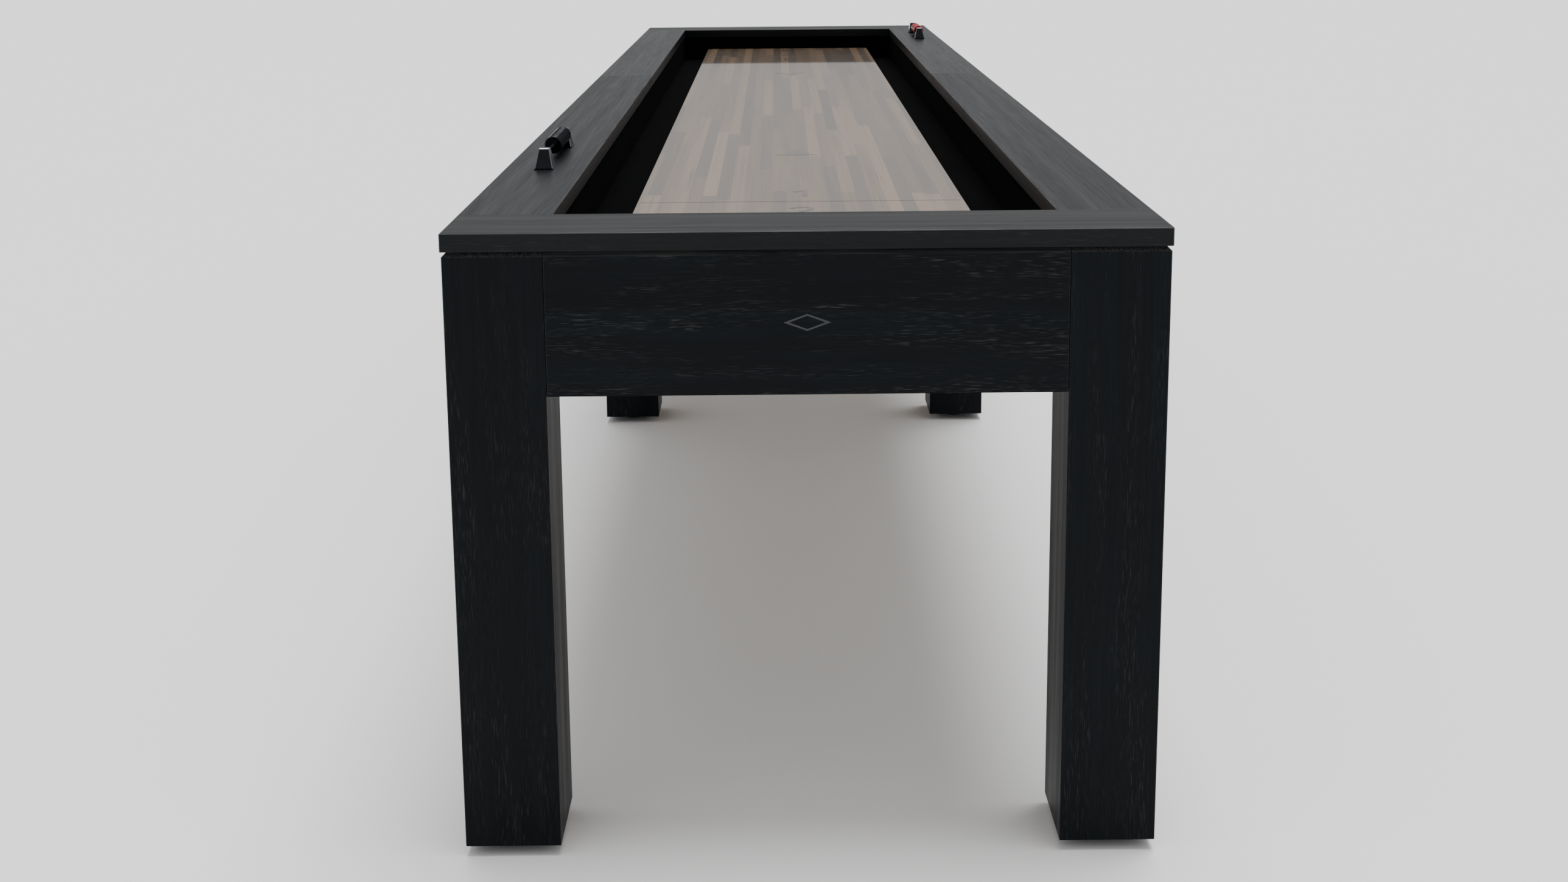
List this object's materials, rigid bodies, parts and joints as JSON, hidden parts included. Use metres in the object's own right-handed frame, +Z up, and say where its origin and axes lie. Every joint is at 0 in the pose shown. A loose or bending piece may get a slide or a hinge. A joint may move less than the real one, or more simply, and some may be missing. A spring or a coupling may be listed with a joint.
{
  "type": "shuffleboard table",
  "caption": "Long black-stained shuffleboard table: laminated playfield in a carpeted gutter well, wide rails, aprons, square legs with levellers, and sliding bead scorers.",
  "frame": {"origin": "on the floor under the middle of the table, at the centre of its footprint", "axes": "+Y along the table from the near end to the far end, +X to the right seen from the near end, +Z up"},
  "size_m": [0.9144, 3.6576, 0.876],
  "materials": {
    "rail_wood": "satin black stain, fine grain",
    "leg_wood": "satin black stain, vertical grain",
    "apron_wood": "satin black stain, lengthwise grain",
    "carcass_wood": "sawn, unfinished",
    "carpet": "short black pile",
    "playfield_maple": "laminated strips under a thick gloss coat",
    "black_rubber": "matte",
    "dark_chrome": "polished dark chrome",
    "black_bead": "gloss",
    "red_bead": "gloss",
    "bracket_steel": "black powder coat",
    "zinc_steel": "zinc plated"
  },
  "bodies": {
    "root": {"adjuster_brackets": "bracket_steel", "adjuster_rods": "zinc_steel", "bolt_washers": "zinc_steel", "bracket_screws": "zinc_steel", "cradle_brackets": "bracket_steel", "cross_members": "carcass_wood", "far_apron": "apron_wood", "far_end_rail": "rail_wood", "far_left_leg": "leg_wood", "far_right_leg": "leg_wood", "frame_bolts": "zinc_steel", "gutter_carpet": "carpet", "gutter_floor_boards": "carcass_wood", "gutter_walls": "carcass_wood", "left_apron_far": "apron_wood", "left_apron_near": "apron_wood", "left_rail_far": "rail_wood", "left_rail_near": "rail_wood", "leg_inserts": "zinc_steel", "m10_nuts": "zinc_steel", "middle_left_leg": "leg_wood", "middle_right_leg": "leg_wood", "near_apron": "apron_wood", "near_end_rail": "rail_wood", "near_left_leg": "leg_wood", "near_right_leg": "leg_wood", "playfield": "playfield_maple", "playfield_bearers": "carcass_wood", "playfield_bolts": "zinc_steel", "rail_dowels": "carcass_wood", "right_apron_far": "apron_wood", "right_apron_near": "apron_wood", "right_rail_far": "rail_wood", "right_rail_near": "rail_wood", "scorer_posts": "dark_chrome", "scorer_rods": "dark_chrome", "scorer_screws": "zinc_steel"},
    "near_left_pad": {"near_left_leveller_pad": "black_rubber"},
    "near_left_stud": {"near_left_leveller_stud": "zinc_steel"},
    "near_right_pad": {"near_right_leveller_pad": "black_rubber"},
    "near_right_stud": {"near_right_leveller_stud": "zinc_steel"},
    "middle_left_pad": {"middle_left_leveller_pad": "black_rubber"},
    "middle_left_stud": {"middle_left_leveller_stud": "zinc_steel"},
    "middle_right_pad": {"middle_right_leveller_pad": "black_rubber"},
    "middle_right_stud": {"middle_right_leveller_stud": "zinc_steel"},
    "far_left_pad": {"far_left_leveller_pad": "black_rubber"},
    "far_left_stud": {"far_left_leveller_stud": "zinc_steel"},
    "far_right_pad": {"far_right_leveller_pad": "black_rubber"},
    "far_right_stud": {"far_right_leveller_stud": "zinc_steel"},
    "adjuster_1": {"adjuster_sleeve_1": "zinc_steel"},
    "adjuster_2": {"adjuster_sleeve_2": "zinc_steel"},
    "adjuster_3": {"adjuster_sleeve_3": "zinc_steel"},
    "adjuster_4": {"adjuster_sleeve_4": "zinc_steel"},
    "black_beads_group_1": {"black_beads_1": "black_bead"},
    "black_beads_group_2": {"black_beads_2": "black_bead"},
    "black_beads_group_3": {"black_beads_3": "black_bead"},
    "red_beads_group_1": {"red_beads_1": "red_bead"},
    "red_beads_group_2": {"red_beads_2": "red_bead"},
    "red_beads_group_3": {"red_beads_3": "red_bead"}
  },
  "joints": [
    {"name": "near_left_leveller_slide", "type": "slide", "parent": "root", "child": "near_left_pad", "axis": [0, 0, -1], "range_m": [0, 0.024]},
    {"name": "near_left_leveller_turn", "type": "hinge", "parent": "near_left_pad", "child": "near_left_stud", "pos_m": [-0.3927, -1.7643, 0.02], "axis": [0, 0, -1], "range_deg": [0, 5760]},
    {"name": "near_right_leveller_slide", "type": "slide", "parent": "root", "child": "near_right_pad", "axis": [0, 0, -1], "range_m": [0, 0.024]},
    {"name": "near_right_leveller_turn", "type": "hinge", "parent": "near_right_pad", "child": "near_right_stud", "pos_m": [0.3927, -1.7643, 0.02], "axis": [0, 0, -1], "range_deg": [0, 5760]},
    {"name": "middle_left_leveller_slide", "type": "slide", "parent": "root", "child": "middle_left_pad", "axis": [0, 0, -1], "range_m": [0, 0.024]},
    {"name": "middle_left_leveller_turn", "type": "hinge", "parent": "middle_left_pad", "child": "middle_left_stud", "pos_m": [-0.3927, 0.175, 0.02], "axis": [0, 0, -1], "range_deg": [0, 5760]},
    {"name": "middle_right_leveller_slide", "type": "slide", "parent": "root", "child": "middle_right_pad", "axis": [0, 0, -1], "range_m": [0, 0.024]},
    {"name": "middle_right_leveller_turn", "type": "hinge", "parent": "middle_right_pad", "child": "middle_right_stud", "pos_m": [0.3927, 0.175, 0.02], "axis": [0, 0, -1], "range_deg": [0, 5760]},
    {"name": "far_left_leveller_slide", "type": "slide", "parent": "root", "child": "far_left_pad", "axis": [0, 0, -1], "range_m": [0, 0.024]},
    {"name": "far_left_leveller_turn", "type": "hinge", "parent": "far_left_pad", "child": "far_left_stud", "pos_m": [-0.3927, 1.7643, 0.02], "axis": [0, 0, -1], "range_deg": [0, 5760]},
    {"name": "far_right_leveller_slide", "type": "slide", "parent": "root", "child": "far_right_pad", "axis": [0, 0, -1], "range_m": [0, 0.024]},
    {"name": "far_right_leveller_turn", "type": "hinge", "parent": "far_right_pad", "child": "far_right_stud", "pos_m": [0.3927, 1.7643, 0.02], "axis": [0, 0, -1], "range_deg": [0, 5760]},
    {"name": "adjuster_turn_1", "type": "hinge", "parent": "root", "child": "adjuster_1", "pos_m": [0, -1.3625, 0.7179], "axis": [1, 0, 0], "range_deg": [-180, 180]},
    {"name": "adjuster_turn_2", "type": "hinge", "parent": "root", "child": "adjuster_2", "pos_m": [0, -0.1325, 0.7179], "axis": [1, 0, 0], "range_deg": [-180, 180]},
    {"name": "adjuster_turn_3", "type": "hinge", "parent": "root", "child": "adjuster_3", "pos_m": [0, 0.42417, 0.7179], "axis": [1, 0, 0], "range_deg": [-180, 180]},
    {"name": "adjuster_turn_4", "type": "hinge", "parent": "root", "child": "adjuster_4", "pos_m": [0, 1.42083, 0.7179], "axis": [1, 0, 0], "range_deg": [-180, 180]},
    {"name": "black_beads_slide_1", "type": "slide", "parent": "root", "child": "black_beads_group_1", "axis": [0, -1, 0], "range_m": [0, 0.0283]},
    {"name": "black_beads_slide_2", "type": "slide", "parent": "black_beads_group_1", "child": "black_beads_group_2", "axis": [0, -1, 0], "range_m": [0, 0.0283]},
    {"name": "black_beads_slide_3", "type": "slide", "parent": "black_beads_group_2", "child": "black_beads_group_3", "axis": [0, -1, 0], "range_m": [0, 0.0283]},
    {"name": "red_beads_slide_1", "type": "slide", "parent": "root", "child": "red_beads_group_1", "axis": [0, 1, 0], "range_m": [0, 0.0283]},
    {"name": "red_beads_slide_2", "type": "slide", "parent": "red_beads_group_1", "child": "red_beads_group_2", "axis": [0, 1, 0], "range_m": [0, 0.0283]},
    {"name": "red_beads_slide_3", "type": "slide", "parent": "red_beads_group_2", "child": "red_beads_group_3", "axis": [0, 1, 0], "range_m": [0, 0.0283]}
  ],
  "couplings": [
    {"joint": "near_left_leveller_turn", "follows": "near_left_leveller_slide", "rad_per_m": 4188.8},
    {"joint": "near_right_leveller_turn", "follows": "near_right_leveller_slide", "rad_per_m": 4188.8},
    {"joint": "middle_left_leveller_turn", "follows": "middle_left_leveller_slide", "rad_per_m": 4188.8},
    {"joint": "middle_right_leveller_turn", "follows": "middle_right_leveller_slide", "rad_per_m": 4188.8},
    {"joint": "far_left_leveller_turn", "follows": "far_left_leveller_slide", "rad_per_m": 4188.8},
    {"joint": "far_right_leveller_turn", "follows": "far_right_leveller_slide", "rad_per_m": 4188.8}
  ]
}
